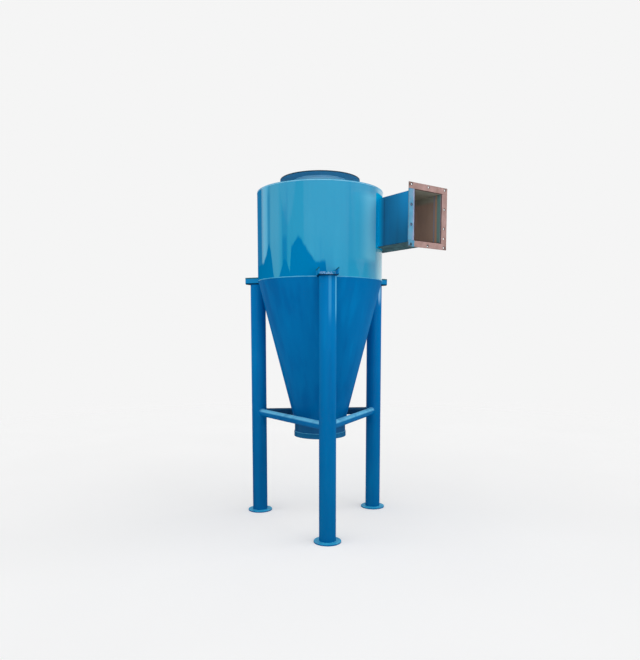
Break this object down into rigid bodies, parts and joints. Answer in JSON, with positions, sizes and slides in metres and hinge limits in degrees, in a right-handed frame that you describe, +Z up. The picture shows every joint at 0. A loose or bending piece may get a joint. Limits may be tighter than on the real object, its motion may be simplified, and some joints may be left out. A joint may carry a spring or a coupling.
{
  "type": "cyclone separator",
  "caption": "Welded steel cyclone dust separator on pipe legs: cylindrical body over a long cone, flanged tangential inlet duct, flanged gas outlet on the roof.",
  "frame": {"origin": "on the vessel's axis at floor level, midway between the three feet", "axes": "+Z up along the vessel's axis, +X the way the inlet duct's mouth faces, +Y towards the side where the duct is tangent to the body"},
  "size_m": [1.3024, 1.065, 2.486],
  "materials": {
    "body_paint": "gloss sky blue enamel",
    "cone_paint": "gloss blue enamel",
    "leg_paint": "gloss blue enamel",
    "duct_paint": "gloss blue enamel",
    "primer": "matt pinkish grey primer",
    "overspray": "thin light blue coat over primer"
  },
  "bodies": {
    "root": {"body_shell": "body_paint", "roof_plate": "body_paint", "cone": "cone_paint", "dust_outlet_pipe": "cone_paint", "dust_outlet_collar": "cone_paint", "outlet_pipe": "body_paint", "outlet_flange": "body_paint", "duct_inner_wall": "duct_paint", "duct_outer_wall": "duct_paint", "duct_floor_plate": "duct_paint", "duct_roof_plate": "duct_paint", "inlet_bar_top": "primer", "inlet_bar_bottom": "primer", "inlet_bar_outer": "primer", "inlet_bar_inner": "overspray", "leg_1": "leg_paint", "foot_plate_1": "leg_paint", "leg_ear_1": "leg_paint", "leg_brace_1": "leg_paint", "leg_2": "leg_paint", "foot_plate_2": "leg_paint", "leg_ear_2": "leg_paint", "leg_brace_2": "leg_paint", "leg_3": "leg_paint", "foot_plate_3": "leg_paint", "leg_ear_3": "leg_paint", "leg_brace_3": "leg_paint"}
  },
  "joints": []
}
